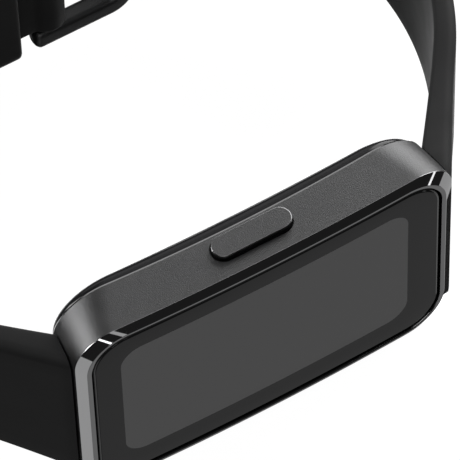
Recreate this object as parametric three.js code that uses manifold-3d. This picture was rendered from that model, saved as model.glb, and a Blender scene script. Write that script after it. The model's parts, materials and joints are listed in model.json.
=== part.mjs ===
// Fitness tracker band: a slim rounded-rectangle tracker in a metal case, with two silicone strap
// halves, a tang buckle and two keeper loops. It lies on the long side of its case.
//
// Millimetres. +X runs along the case towards the tail strap, -Y is the display side, +Y the wrist
// side, +Z the side with the key. The origin is the middle of the case's flat lower long wall.
// Inside the group every part is drawn with x along the case, y as the depth behind the front lip
// and z measured from the middle of the case's width.

import * as THREE from "three";
import { mergeVertices } from "three/addons/utils/BufferGeometryUtils.js";
import Module from "manifold-3d";

const wasm = await Module();
wasm.setup();

// ---- Driving dimensions -------------------------------------------------------------------------

const CASE_LENGTH = 42.9;
const CASE_WIDTH = 28.8;
const CASE_DEPTH = 9.9;
const WALL_MIDDLE = 2.8; // depth of the middle of the long wall, where the origin lies
const FRONT_BOW = 0.0014; // the front curves back by this times x squared
const GLASS_BOW = 0.0012;
const REAR_BOW = 0.0023;

const CHAMFER = 1.26; // width of the polished band round the front
const LIP = 0.51; // flat lip between the band and the glass
const RIM_DEPTH = 5.3; // where the metal frame ends and the back cover begins

const CAVITY = { length: 35, width: 25.2, radius: 3, depth: 2.1 };
const SEAT = { length: 36.6, width: 22.6, radius: 3.2, depth: 1.45 }; // step under the glass
const SLOT = { inner: 18.5, front: 2.5, rear: 4.9, half: 8.3 }; // strap slot in each end wall

const KEY = { x: -0.1, depth: 3.3, length: 8.6, width: 2.55, recess: 0.8, proud: 0.5, travel: 0.35 };
const KEY_GAP = 0.22;
const GLASS_GAP = 0.21;
const STEM_RADIUS = 0.6;

const POST = { x: 15.2, z: 9.6, radius: 1.25 };
const BOARD_DEPTH = 5.85;
const BOARD_THICKNESS = 0.5;
const CONTACT = { x: 10.2, z: 2.4, radius: 1 };
const WINDOW = { length: 14.6, width: 9.6, radius: 3, depth: 8.95 };

const STRAP_START = { x: 20.8, y: 3.5 };
const TAIL_HEADING = 55.2; // degrees from the case's long axis
const BUCKLE_HEADING = 48;
const HINGE_AT = 7.5; // how far along the strap the bend sits
const STRAIGHT = 15; // the stiff, straight stretch beside the case
const LINK_THICKNESS = 3;
const STRAP_THICKNESS = 2.4;
const KNUCKLE_GAP = 0.3;
const SHOULDER_HALF = 10.2; // half the width where the strap meets the case
const STRAP_HALF = 9.25;
const TAIL_HALF = 8.7;
const LINK_PLAN = { start: -4, wide: 0, bend: 2.6, slim: 6.5, end: 9 }; // distances along the link
const LATCH = { at: 4.6, long: 1.15, half: 4.3, proud: 0.1 }; // release button on the wrist side
const LATCH_POCKET = { long: 1.4, half: 4.6, depth: 1.6 };

const BUCKLE_ARC = 21.5;
const BUCKLE_STRAIGHT = 17;
const TAIL_ARCS = [{ radius: 31, length: 20 }, { radius: 38, length: 58.2 }];
const TAIL_STRAIGHT = 18;
const TAIL_HOLES = { count: 9, first: 47, pitch: 6.5, radius: 1.15 };

const PIN_RADIUS = 0.75;
const PIN_BORE = 0.95;
const BUCKLE = { half: 12.2, arm: 2.4, end: 10.2, bar: 2, thickness: 2.2 };
const KEEPER = { length: 5.5, wall: 1.2, gap: 0.35, room: 3.9, half: 9.7 };
const FIXED_KEEPER_BACK = 7; // distance behind the buckle pin
const FREE_KEEPER_BACK = 13.5;

const CORNER_STEPS = 3;
const SIDE_STEPS = 7;

// ---- Shape helpers ------------------------------------------------------------------------------

// A rounded rectangle round the case's axis, as a closed ring of points at one depth. Its long
// sides are divided so that the ring can bow back by bow times x squared.
function outline(length, width, radius, depth, bow = 0) {
  const x = length / 2 - radius;
  const z = width / 2 - radius;
  const path = new THREE.Path();
  const side = (from, height) => {
    for (let i = 1; i < SIDE_STEPS; i += 1) {
      path.lineTo(from * (1 - (2 * i) / SIDE_STEPS), height);
    }
  };
  path.absarc(x, z, radius, 0, Math.PI / 2);
  side(x, width / 2);
  path.absarc(-x, z, radius, Math.PI / 2, Math.PI);
  path.absarc(-x, -z, radius, Math.PI, 1.5 * Math.PI);
  side(-x, -width / 2);
  path.absarc(x, -z, radius, 1.5 * Math.PI, 2 * Math.PI);
  const ring = path.getPoints(CORNER_STEPS);
  return ring.map((p) => new THREE.Vector3(p.x, depth + bow * p.x * p.x, p.y));
}

// A closed skin through a list of rings that all have the same number of points. The rings turn
// anticlockwise when looked at along the direction in which they follow each other.
function loft(rings) {
  const count = rings[0].length;
  const points = rings.flat();
  const centre = (ring) => {
    const sum = ring.reduce((total, p) => total.add(p), new THREE.Vector3());
    return sum.divideScalar(ring.length);
  };
  points.push(centre(rings[0]), centre(rings[rings.length - 1]));
  const first = points.length - 2;
  const last = points.length - 1;
  const end = (rings.length - 1) * count;
  const index = [];
  for (let i = 0; i < count; i += 1) {
    const j = (i + 1) % count;
    index.push(first, i, j, last, end + j, end + i);
    for (let k = 0; k < rings.length - 1; k += 1) {
      const a = k * count;
      const b = a + count;
      index.push(a + i, b + i, a + j, a + j, b + i, b + j);
    }
  }
  const geometry = new THREE.BufferGeometry().setFromPoints(points);
  geometry.setIndex(index);
  return geometry;
}

function box(x0, x1, y0, y1, z0, z1) {
  const geometry = new THREE.BoxGeometry(x1 - x0, y1 - y0, z1 - z0);
  return geometry.translate((x0 + x1) / 2, (y0 + y1) / 2, (z0 + z1) / 2);
}

// A round bar along z (the cylinder's own axis is y).
function barZ(radius, x, y, z0, z1, sides = 16) {
  const geometry = new THREE.CylinderGeometry(radius, radius, z1 - z0, sides);
  return geometry.rotateX(Math.PI / 2).translate(x, y, (z0 + z1) / 2);
}

// A round bar along the depth.
function barY(radius, x, z, y0, y1, sides = 16) {
  const geometry = new THREE.CylinderGeometry(radius, radius, y1 - y0, sides);
  return geometry.translate(x, (y0 + y1) / 2, z);
}

// A round part turned from a profile of [radius, depth] points on the depth axis.
function turnedY(profile, x, z, sides = 14) {
  const points = profile.map(([radius, depth]) => new THREE.Vector2(radius, depth));
  return new THREE.LatheGeometry(points, sides).translate(x, 0, z);
}

// A flat outline in x and y, extruded along z.
function prism(corners, z0, z1) {
  const shape = new THREE.Shape(corners.map(([x, y]) => new THREE.Vector2(x, y)));
  const geometry = new THREE.ExtrudeGeometry(shape, { depth: z1 - z0, bevelEnabled: false });
  return geometry.translate(0, 0, z0);
}

function slab(length, width, radius, y0, y1, bow = 0) {
  return loft([outline(length, width, radius, y0, bow), outline(length, width, radius, y1, bow)]);
}

// ---- Booleans -----------------------------------------------------------------------------------

function solid(geometry) {
  const bare = geometry.index ? geometry.clone() : geometry;
  bare.deleteAttribute("normal");
  bare.deleteAttribute("uv");
  const merged = mergeVertices(bare, 1e-5);
  return new wasm.Manifold(new wasm.Mesh({
    numProp: 3,
    vertProperties: new Float32Array(merged.attributes.position.array),
    triVerts: new Uint32Array(merged.index.array),
  }));
}

function geometryOf(manifold) {
  const mesh = manifold.getMesh();
  const geometry = new THREE.BufferGeometry();
  geometry.setAttribute("position", new THREE.BufferAttribute(mesh.vertProperties, 3));
  geometry.setIndex(new THREE.BufferAttribute(mesh.triVerts, 1));
  return geometry;
}

function cut(base, ...tools) {
  return geometryOf(tools.reduce((body, tool) => body.subtract(solid(tool)), solid(base)));
}

function join(base, ...more) {
  return geometryOf(more.reduce((body, other) => body.add(solid(other)), solid(base)));
}

// ---- Materials and the group --------------------------------------------------------------------

const FINISH = {
  metal: { color: 0x4a4b4f, roughness: 0.45, metalness: 0.9 },
  glass: { color: 0x0b0c0e, roughness: 0.05, metalness: 0 },
  gloss: { color: 0x101114, roughness: 0.12, metalness: 0 },
  silicone: { color: 0x17181a, roughness: 0.6, metalness: 0 },
  plastic: { color: 0x1e1f22, roughness: 0.55, metalness: 0 },
  rubber: { color: 0x222325, roughness: 0.8, metalness: 0 },
  steel: { color: 0xa9abae, roughness: 0.3, metalness: 1 },
  gold: { color: 0xd8b060, roughness: 0.3, metalness: 1 },
  board: { color: 0x14442c, roughness: 0.6, metalness: 0 },
  chip: { color: 0x141416, roughness: 0.5, metalness: 0 },
  foil: { color: 0x8b8f94, roughness: 0.5, metalness: 0.4 },
  flex: { color: 0x8a5a1c, roughness: 0.5, metalness: 0 },
};

const tracker = new THREE.Group();
tracker.position.set(0, -WALL_MIDDLE, CASE_WIDTH / 2);

function part(name, finish, geometry) {
  const mesh = new THREE.Mesh(geometry, new THREE.MeshStandardMaterial(FINISH[finish]));
  mesh.name = name;
  tracker.add(mesh);
}

// ---- Case ---------------------------------------------------------------------------------------

const INSET = 2 * (CHAMFER + LIP);
const OPENING = { length: CASE_LENGTH - INSET, width: CASE_WIDTH - INSET, radius: 4.1 };

function stadium(length, width, z0, z1, x, depth) {
  const radius = width / 2;
  const half = length / 2 - radius;
  const shape = new THREE.Shape();
  shape.absarc(x + half, depth, radius, -Math.PI / 2, Math.PI / 2);
  shape.absarc(x - half, depth, radius, Math.PI / 2, 1.5 * Math.PI);
  const options = { depth: z1 - z0, bevelEnabled: false, curveSegments: 10 };
  return new THREE.ExtrudeGeometry(shape, options).translate(0, 0, z0);
}

function caseFrame() {
  const length = CASE_LENGTH;
  const width = CASE_WIDTH;
  const body = loft([
    outline(OPENING.length, OPENING.width, OPENING.radius, 0, FRONT_BOW),
    outline(length - 2 * CHAMFER, width - 2 * CHAMFER, 4.62, 0, FRONT_BOW),
    outline(length, width, 4.3, 0.255, FRONT_BOW),
    outline(length - 0.15, width, 4.4, 2, 0.0017),
    outline(length - 0.9, width, 5.6, RIM_DEPTH - 0.4, REAR_BOW),
    outline(length - 1.4, width - 0.3, 6, RIM_DEPTH, REAR_BOW),
    outline(CAVITY.length, CAVITY.width, CAVITY.radius, RIM_DEPTH, REAR_BOW),
  ]);
  const through = loft([
    outline(OPENING.length, OPENING.width, OPENING.radius, -1.5, FRONT_BOW),
    outline(OPENING.length, OPENING.width, OPENING.radius, SEAT.depth, FRONT_BOW),
    outline(SEAT.length, SEAT.width, SEAT.radius, SEAT.depth, FRONT_BOW),
    outline(SEAT.length, SEAT.width, SEAT.radius, 3, FRONT_BOW),
  ]);
  const cavity = slab(CAVITY.length, CAVITY.width, CAVITY.radius, CAVITY.depth, 9);
  const slots = [-1, 1].map((side) => {
    const ends = [side * SLOT.inner, side * 23].sort((a, b) => a - b);
    return box(...ends, SLOT.front, SLOT.rear, -SLOT.half, SLOT.half);
  });
  const top = width / 2;
  const recess = stadium(KEY.length + 2 * KEY_GAP, KEY.width + 2 * KEY_GAP, top - KEY.recess, top + 1,
    KEY.x, KEY.depth);
  const stemHole = barZ(STEM_RADIUS + 0.1, KEY.x, KEY.depth, 11, 14.2);
  return cut(body, through, cavity, ...slots, recess, stemHole);
}

function coverGlass() {
  const length = OPENING.length - 2 * GLASS_GAP;
  const width = OPENING.width - 2 * GLASS_GAP;
  return loft([
    outline(length - 0.8, width - 0.8, 3.5, 0.14, GLASS_BOW),
    outline(length, width, 3.9, 0.32, GLASS_BOW),
    outline(length, width, 3.9, 1.05, GLASS_BOW),
  ]);
}

function glassGasket() {
  const ring = slab(38.5, 24.4, 3.8, 1.12, 1.4, FRONT_BOW);
  return cut(ring, slab(36.9, 22.9, 3.1, 0, 3, FRONT_BOW));
}

// Rings of the back cover's outside: a shallow skirt that curves over into a flat sensor face.
// The inside of the shell has the same rings, drawn in by its wall.
function backCoverRings(wall) {
  const levels = [
    { depth: 5.36, inset: 0.3, bow: REAR_BOW },
    { depth: 6, inset: 0.5, bow: REAR_BOW },
    { depth: 6.7, inset: 1.05, bow: 0.0019 },
    { depth: 7.4, inset: 2.1, bow: 0.0014 },
    { depth: 8.2, inset: 3.7, bow: 0.0008 },
    { depth: 9.1, inset: 5.9, bow: 0.0003 },
    { depth: CASE_DEPTH, inset: 8.8, bow: 0 },
  ];
  return levels.map(({ depth, inset, bow }) => {
    const length = CASE_LENGTH - 1.2 - 2 * (inset + wall);
    const width = CASE_WIDTH - 0.2 - 2 * (inset + wall);
    const radius = Math.min(6 - wall, width / 2 - 0.2);
    return outline(length, width, radius, depth - wall * 0.85, bow);
  });
}

function backCover() {
  const inside = backCoverRings(1);
  inside.unshift(outline(35.8, 25, 4, 4.5, REAR_BOW));
  inside[1] = outline(35.8, 25, 4, 5.9, REAR_BOW);
  inside[2] = outline(35.8, 24.9, 4, 6.1, 0.0018);
  const window = slab(WINDOW.length + 0.4, WINDOW.width + 0.4, WINDOW.radius + 0.2, 8, 11);
  const gasketStep = slab(38.2, 27, 5, 4, 5.75, REAR_BOW);
  const holes = [-1, 1].map((side) => barY(CONTACT.radius + 0.15, CONTACT.x, side * CONTACT.z, 8, 11));
  return cut(loft(backCoverRings(0)), loft(inside), gasketStep, window, ...holes);
}

function backGasket() {
  const ring = slab(37.9, 26.8, 4.8, 5.4, 5.7, REAR_BOW);
  return cut(ring, slab(36.2, 25.5, 4, 4, 8, REAR_BOW));
}

function buildCase() {
  part("case_frame", "metal", caseFrame());
  part("cover_glass", "glass", coverGlass());
  part("glass_gasket", "rubber", glassGasket());
  part("back_cover", "gloss", backCover());
  part("back_gasket", "rubber", backGasket());
  const { length, width, radius, depth } = WINDOW;
  part("sensor_window", "glass", loft([
    outline(length, width, radius, depth),
    outline(length, width, radius, CASE_DEPTH - 0.15),
    outline(length - 0.4, width - 0.4, radius - 0.2, CASE_DEPTH),
  ]));
  [-1, 1].forEach((side, i) => {
    const profile = [[0, 8.3], [1.5, 8.3], [1.5, 8.6], [CONTACT.radius, 8.6]];
    const tip = [[CONTACT.radius, CASE_DEPTH - 0.1], [CONTACT.radius - 0.1, CASE_DEPTH], [0, CASE_DEPTH]];
    part(`charge_contact_${i + 1}`, "gold", turnedY([...profile, ...tip], CONTACT.x, side * CONTACT.z));
  });
}

// ---- Electronics --------------------------------------------------------------------------------

function corners(make) {
  return [[-1, -1], [1, -1], [1, 1], [-1, 1]].map(([x, z], i) => make(x * POST.x, z * POST.z, i + 1));
}

function buildElectronics() {
  part("display_panel", "glass", slab(35.6, 21.6, 2.4, 1.12, 1.8, GLASS_BOW));

  const plate = slab(34.2, 21.8, 2, 2.35, 2.75);
  const posts = corners((x, z) => barY(POST.radius, x, z, 2.6, BOARD_DEPTH - 0.1));
  const ribbonGap = box(-18, -16.4, 2, 3, -4.4, 4.4);
  const threads = corners((x, z) => barY(0.65, x, z, 4.3, 7));
  part("inner_chassis", "plastic", cut(join(plate, ...posts), ribbonGap, ...threads));

  const ribbon = box(-17.2, -17, 2.3, 6.75, -4, 4);
  part("display_flex", "flex", join(ribbon, box(-17.2, -13.6, 6.6, 6.75, -4, 4)));

  part("battery", "foil", slab(21, 17.2, 0.8, 2.9, 5.5).translate(-1.6, 0, 0));
  part("battery_tab", "board", box(9, 9.7, 3.2, 4.4, -5, 5));
  part("vibration_motor", "steel", barY(3.2, 13.2, -5.4, 2.9, 5.5, 20));

  const boardBack = BOARD_DEPTH + BOARD_THICKNESS;
  const board = slab(33.2, 21.8, 2, BOARD_DEPTH, boardBack);
  part("main_board", "board", cut(board, ...corners((x, z) => barY(0.75, x, z, 5, 7))));
  const shield = box(-10, 3, boardBack + 0.05, 7.5, -6, 6);
  part("board_shield", "steel", cut(shield, box(-9.8, 2.8, 6, 7.3, -5.8, 5.8)));
  part("processor_chip", "chip", box(-8.6, -3.2, boardBack + 0.05, 7.1, -2.7, 2.7));
  part("memory_chip", "chip", box(-2, 1.6, boardBack + 0.05, 6.95, -2.2, 2.2));
  part("board_connector", "plastic", box(5, 8.6, boardBack + 0.05, 7.2, -3, 3));
  part("antenna_strip", "flex", box(11.4, 13, boardBack + 0.05, 7.3, -7, 7));
  corners((x, z, i) => {
    const profile = [[0, 4.6], [0.55, 4.6], [0.55, 6.4], [1.1, 6.4], [1.1, 6.85], [0, 6.85]];
    part(`board_screw_${i}`, "steel", turnedY(profile, x, z, 12));
  });

  part("sensor_board", "board", slab(15, 9, 1, 7.75, 8.1));
  part("led_cluster", "chip", box(-1.3, 1.3, 8.15, 8.6, -1.3, 1.3));
  [-1, 1].forEach((side, i) => {
    part(`photodiode_${i + 1}`, "chip", box(side * 4.6 - 1.3, side * 4.6 + 1.3, 8.15, 8.55, -1.5, 1.5));
  });
}

// ---- Side key -----------------------------------------------------------------------------------

function buildKey() {
  const top = CASE_WIDTH / 2;
  const under = top - KEY.recess + KEY.travel + 0.07;
  const bevel = 0.3;
  const radius = KEY.width / 2 - bevel;
  const half = KEY.length / 2 - KEY.width / 2;
  const shape = new THREE.Shape();
  shape.absarc(half, 0, radius, -Math.PI / 2, Math.PI / 2);
  shape.absarc(-half, 0, radius, Math.PI / 2, 1.5 * Math.PI);
  const cap = new THREE.ExtrudeGeometry(shape, {
    depth: top + KEY.proud - under - 2 * bevel,
    bevelEnabled: true,
    bevelThickness: bevel,
    bevelSize: bevel,
    bevelSegments: 2,
    curveSegments: 10,
  }).translate(KEY.x, KEY.depth, under + bevel);
  const stemEnd = 11.45;
  const stem = barZ(STEM_RADIUS, KEY.x, KEY.depth, stemEnd, under + 0.4);
  part("side_key", "metal", join(cap, stem));

  const ring = (inner, outer, z0, z1) => {
    const hole = barZ(inner, KEY.x, KEY.depth, z0 - 1, z1 + 1);
    return cut(barZ(outer, KEY.x, KEY.depth, z0, z1), hole);
  };
  part("key_seal", "rubber", ring(STEM_RADIUS + 0.08, 1.15, 12.1, 12.5));
  part("key_clip", "steel", ring(STEM_RADIUS + 0.05, 1.15, 11.75, 11.95));
  part("key_switch", "steel", box(KEY.x - 1.8, KEY.x + 1.8, 2.95, 5.3, 10.2, 11));
  part("switch_bracket", "steel", box(KEY.x - 4, KEY.x + 4, 2.85, 5.5, 9.5, 10.1));
}

// ---- Strap route --------------------------------------------------------------------------------

// A route is a start, a heading and a list of straights and arcs. at(a) gives the point, the
// direction of travel and the outward direction, away from the wrist, at a distance a along it.
// side is +1 for the tail strap and -1 for the buckle strap, which is drawn mirrored.
function route(side, pieces) {
  const start = THREE.MathUtils.degToRad(side > 0 ? TAIL_HEADING : BUCKLE_HEADING);
  return (a) => {
    let x = STRAP_START.x;
    let y = STRAP_START.y;
    let heading = start;
    let left = a;
    pieces.forEach(({ length, radius }, i) => {
      const last = i === pieces.length - 1;
      const step = i === 0 && left < 0 ? left : Math.min(left, last ? Infinity : length);
      left -= step;
      if (radius) {
        const turned = heading + step / radius;
        x += radius * (Math.sin(turned) - Math.sin(heading));
        y -= radius * (Math.cos(turned) - Math.cos(heading));
        heading = turned;
      } else {
        x += step * Math.cos(heading);
        y += step * Math.sin(heading);
      }
    });
    const along = new THREE.Vector3(side * Math.cos(heading), Math.sin(heading), 0);
    const out = new THREE.Vector3(side * Math.sin(heading), -Math.cos(heading), 0);
    return { point: new THREE.Vector3(side * x, y, 0), along, out };
  };
}

const FULL_TURN = THREE.MathUtils.degToRad(180 - BUCKLE_HEADING);
const BUCKLE_PIECES = [
  { length: STRAIGHT },
  { length: BUCKLE_ARC * FULL_TURN, radius: BUCKLE_ARC },
  { length: BUCKLE_STRAIGHT },
];
const TAIL_PIECES = [{ length: STRAIGHT }, ...TAIL_ARCS, { length: TAIL_STRAIGHT }];
const total = (pieces) => pieces.reduce((sum, piece) => sum + piece.length, 0);
const buckleRoute = route(-1, BUCKLE_PIECES);
const tailRoute = route(1, TAIL_PIECES);
const BUCKLE_LENGTH = total(BUCKLE_PIECES);
const TAIL_LENGTH = total(TAIL_PIECES);
const PIN = buckleRoute(BUCKLE_LENGTH).point;

// A strap's cross-section: a flat rectangle with its four corners cut off.
function section(place, halfThickness, halfWidth) {
  const edge = Math.min(0.7, halfThickness * 0.6);
  const pairs = [
    [halfThickness - edge, halfWidth], [halfThickness, halfWidth - edge],
    [halfThickness, edge - halfWidth], [halfThickness - edge, -halfWidth],
    [edge - halfThickness, -halfWidth], [-halfThickness, edge - halfWidth],
    [-halfThickness, halfWidth - edge], [edge - halfThickness, halfWidth],
  ];
  return pairs.map(([out, z]) => place.point.clone().addScaledVector(place.out, out).setZ(z));
}

// The mirrored buckle strap already turns the right way, so the tail strap's rings are reversed.
function sweep(way, side, stations) {
  const rings = stations.map(({ a, thickness, half }) => section(way(a), thickness / 2, half));
  return loft(side > 0 ? rings.map((ring) => ring.reverse()) : rings);
}

// The rounded near end of a strap half, which turns in the hollow end of its link.
function knuckleStations(half) {
  const radius = LINK_THICKNESS / 2;
  return [70, 45, 22].map((degrees) => {
    const angle = THREE.MathUtils.degToRad(degrees);
    const a = HINGE_AT - radius * Math.sin(angle);
    return { a, thickness: 2 * radius * Math.cos(angle), half };
  });
}

function strapStations(length, endHalf) {
  const stations = knuckleStations(STRAP_HALF);
  const step = 3;
  const from = HINGE_AT;
  const count = Math.ceil((length - from) / step);
  for (let i = 0; i <= count; i += 1) {
    const a = from + ((length - from) * i) / count;
    const thin = THREE.MathUtils.smoothstep(a, from + 1, from + 16);
    const slim = THREE.MathUtils.smoothstep(a, from, length - 20);
    stations.push({
      a,
      thickness: THREE.MathUtils.lerp(LINK_THICKNESS, STRAP_THICKNESS, thin),
      half: THREE.MathUtils.lerp(STRAP_HALF, endHalf, slim),
    });
  }
  return stations;
}

// ---- Strap links --------------------------------------------------------------------------------

// Places a block given along, outward and across a strap at a distance a along it.
function blockAt(way, a, along, out, across) {
  const { point, along: x, out: y } = way(a);
  const z = new THREE.Vector3().crossVectors(x, y);
  const geometry = box(...along, ...out, ...across);
  return geometry.applyMatrix4(new THREE.Matrix4().makeBasis(x, y, z).setPosition(point));
}

function linkSide(way, side) {
  const half = LINK_THICKNESS / 2;
  const hinge = way(HINGE_AT);
  const reach = half + KNUCKLE_GAP;
  const at = (a, out) => {
    const place = way(a);
    const p = place.point.addScaledVector(place.out, out);
    return [p.x, p.y];
  };
  const wall = [[side * 21.62, 1.5], [side * 21.5, 3.6], [side * 21.2, 5.2], [side * 21.1, 6.2]];
  const body = [at(1, half), at(HINGE_AT, half), at(HINGE_AT, -half), at(2.9, -half)];
  const block = prism([wall[0], ...body, ...wall.slice(1).reverse()], -SHOULDER_HALF, SHOULDER_HALF);
  const hollow = barZ(reach, hinge.point.x, hinge.point.y, -20, 20, 32);
  return cut(block, hollow);
}

// The link narrows from the case's end wall to the strap's width.
function linkPlan(way) {
  const { start, wide, bend, slim, end } = LINK_PLAN;
  const shape = new THREE.Shape();
  shape.moveTo(start, -SHOULDER_HALF);
  shape.lineTo(wide, -SHOULDER_HALF);
  shape.quadraticCurveTo(bend, -STRAP_HALF, slim, -STRAP_HALF);
  shape.lineTo(end, -STRAP_HALF);
  shape.lineTo(end, STRAP_HALF);
  shape.lineTo(slim, STRAP_HALF);
  shape.quadraticCurveTo(bend, STRAP_HALF, wide, SHOULDER_HALF);
  shape.lineTo(start, SHOULDER_HALF);
  const geometry = new THREE.ExtrudeGeometry(shape, { depth: 10, bevelEnabled: false, curveSegments: 4 });
  const { point, along: x, out: y } = way(0);
  const z = new THREE.Vector3().crossVectors(x, y);
  geometry.translate(0, 0, -5).rotateX(-Math.PI / 2);
  return geometry.applyMatrix4(new THREE.Matrix4().makeBasis(x, y, z).setPosition(point));
}

function buildLink(name, way, side) {
  const ends = [side * (SLOT.inner + 0.3), side * 22].sort((a, b) => a - b);
  const tongue = box(...ends, SLOT.front + 0.25, SLOT.rear - 0.25, -8, 8);
  const shaped = solid(linkSide(way, side)).intersect(solid(linkPlan(way)));
  const inner = -LINK_THICKNESS / 2;
  const { at, long, half, proud } = LATCH;
  const room = LATCH_POCKET;
  const deep = [inner - 3, inner + room.depth];
  const pocket = blockAt(way, at, [-room.long, room.long], deep, [-room.half, room.half]);
  part(`strap_link_${name}`, "plastic", geometryOf(shaped.add(solid(tongue)).subtract(solid(pocket))));
  const button = blockAt(way, at, [-long, long], [inner - proud, inner + 0.75], [-half, half]);
  part(`latch_button_${name}`, "steel", button);
  const leaf = blockAt(way, at, [-0.9, 0.9], [inner + 1.2, inner + 1.35], [-3, 3]);
  part(`latch_spring_${name}`, "steel", leaf);
}

// ---- Strap halves, buckle and keepers -----------------------------------------------------------

function buildBuckleStrap() {
  const band = sweep(buckleRoute, -1, strapStations(BUCKLE_LENGTH, TAIL_HALF));
  const knob = barZ(2, PIN.x, PIN.y, -TAIL_HALF, TAIL_HALF, 20);
  const bore = barZ(PIN_BORE, PIN.x, PIN.y, -20, 20);
  const notch = box(PIN.x - 3.4, PIN.x + 4, PIN.y - 5, PIN.y + 5, -1.9, 1.9);
  part("buckle_strap", "silicone", cut(join(band, knob), bore, notch));
}

function buildTailStrap() {
  const stations = strapStations(TAIL_LENGTH, TAIL_HALF).filter(({ a }) => a < TAIL_LENGTH - 8);
  const tip = TAIL_HALF - 0.7;
  [8, 6, 4, 2.4, 1.2, 0.4, 0].forEach((back) => {
    const round = Math.sqrt(1 - ((8 - back) / 8) ** 2);
    stations.push({ a: TAIL_LENGTH - back, thickness: STRAP_THICKNESS, half: 0.7 + tip * round });
  });
  const band = sweep(tailRoute, 1, stations);
  const holes = Array.from({ length: TAIL_HOLES.count }, (_, i) => {
    const { point, along: x, out: y } = tailRoute(TAIL_HOLES.first + i * TAIL_HOLES.pitch);
    const z = new THREE.Vector3().crossVectors(x, y);
    const hole = new THREE.CylinderGeometry(TAIL_HOLES.radius, TAIL_HOLES.radius, 8, 10);
    return hole.applyMatrix4(new THREE.Matrix4().makeBasis(x, y, z).setPosition(point));
  });
  part("tail_strap", "silicone", cut(band, ...holes));
}

function buildBuckle() {
  const { half, arm, end, bar, thickness } = BUCKLE;
  const x = PIN.x;
  const y = PIN.y;
  const shape = new THREE.Shape();
  const corner = 3;
  const back = -1.9;
  shape.moveTo(back, -half);
  shape.lineTo(end - corner, -half);
  shape.absarc(end - corner, corner - half, corner, -Math.PI / 2, 0);
  shape.absarc(end - corner, half - corner, corner, 0, Math.PI / 2);
  shape.lineTo(back, half);
  shape.lineTo(back, half - arm);
  shape.lineTo(end - bar, half - arm);
  shape.lineTo(end - bar, arm - half);
  shape.lineTo(back, arm - half);
  const options = { depth: thickness, bevelEnabled: false, curveSegments: 6 };
  const frame = new THREE.ExtrudeGeometry(shape, options);
  frame.rotateX(Math.PI / 2).translate(x, y + thickness / 2, 0);
  part("buckle_frame", "metal", cut(frame, barZ(0.8, x, y, -half + 0.5, half - 0.5)));
  part("buckle_pin", "steel", barZ(PIN_RADIUS, x, y, -half + 0.7, half - 0.7));

  const under = thickness / 2 + 0.3;
  const tang = prism([
    [x + 0.2, y + 0.6], [x + 1.3, y + 0.6], [x + 3, y + under], [x + end + 0.4, y + under],
    [x + end + 0.4, y + under + 0.6], [x + end - 0.6, y + under + 1], [x + 2.6, y + under + 1],
    [x + 0.2, y + 1.5],
  ], -1.1, 1.1);
  const eye = barZ(1.6, x, y, -1.5, 1.5, 20);
  part("buckle_tongue", "metal", cut(join(eye, tang), barZ(PIN_BORE, x, y, -20, 20)));
}

function keeper(back) {
  const x = PIN.x - back;
  const { length, wall, gap, room, half } = KEEPER;
  const under = PIN.y - STRAP_THICKNESS / 2 - gap;
  const over = PIN.y + room;
  const ring = box(x - length / 2, x + length / 2, under - wall, over + wall, -half - wall, half + wall);
  return cut(ring, box(x - 9, x + 9, under, over, -half, half));
}

buildCase();
buildElectronics();
buildKey();
buildLink("12", buckleRoute, -1);
buildLink("6", tailRoute, 1);
buildBuckleStrap();
buildTailStrap();
buildBuckle();
part("keeper_fixed", "silicone", keeper(FIXED_KEEPER_BACK));
part("keeper_free", "silicone", keeper(FREE_KEEPER_BACK));

export default tracker;
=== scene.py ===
"""Fitness tracker band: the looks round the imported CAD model.

Shapes are worked out in millimetres in the case's own terms: x along the case, depth back from the
front lip, and z from the middle of the case's width. to_frame() turns them into the frame's metres.
"""

import json
import math

import bpy
import numpy as np
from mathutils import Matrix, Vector


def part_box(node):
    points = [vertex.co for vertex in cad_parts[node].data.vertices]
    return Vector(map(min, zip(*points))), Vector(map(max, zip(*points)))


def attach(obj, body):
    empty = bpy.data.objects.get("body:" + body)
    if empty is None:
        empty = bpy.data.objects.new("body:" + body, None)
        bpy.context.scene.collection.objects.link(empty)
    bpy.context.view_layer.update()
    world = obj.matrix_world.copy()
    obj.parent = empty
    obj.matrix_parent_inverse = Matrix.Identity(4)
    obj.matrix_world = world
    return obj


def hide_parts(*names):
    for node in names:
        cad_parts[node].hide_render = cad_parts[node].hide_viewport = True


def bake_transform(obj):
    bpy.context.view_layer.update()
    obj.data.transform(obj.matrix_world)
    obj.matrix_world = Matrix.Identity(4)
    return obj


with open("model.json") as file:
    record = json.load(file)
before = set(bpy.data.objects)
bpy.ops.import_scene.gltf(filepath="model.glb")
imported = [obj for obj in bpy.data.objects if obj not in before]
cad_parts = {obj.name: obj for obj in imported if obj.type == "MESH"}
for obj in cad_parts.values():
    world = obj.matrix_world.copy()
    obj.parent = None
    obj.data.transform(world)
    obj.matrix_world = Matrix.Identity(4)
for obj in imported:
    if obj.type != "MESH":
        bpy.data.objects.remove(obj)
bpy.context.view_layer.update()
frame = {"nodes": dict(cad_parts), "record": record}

MM = 0.001
CASE_LOW, CASE_HIGH = (np.array(corner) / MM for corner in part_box("case_frame"))
CASE_TRIM = (0.2, 0, 0.46)  # the finished walls stand this far inside the CAD's plain block
LENGTH, _, WIDTH = CASE_HIGH - CASE_LOW - 2 * np.array(CASE_TRIM)
FRONT = CASE_LOW[1]
MIDDLE = (CASE_LOW[2] + CASE_HIGH[2]) / 2
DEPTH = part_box("sensor_window")[1][1] / MM - FRONT

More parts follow.
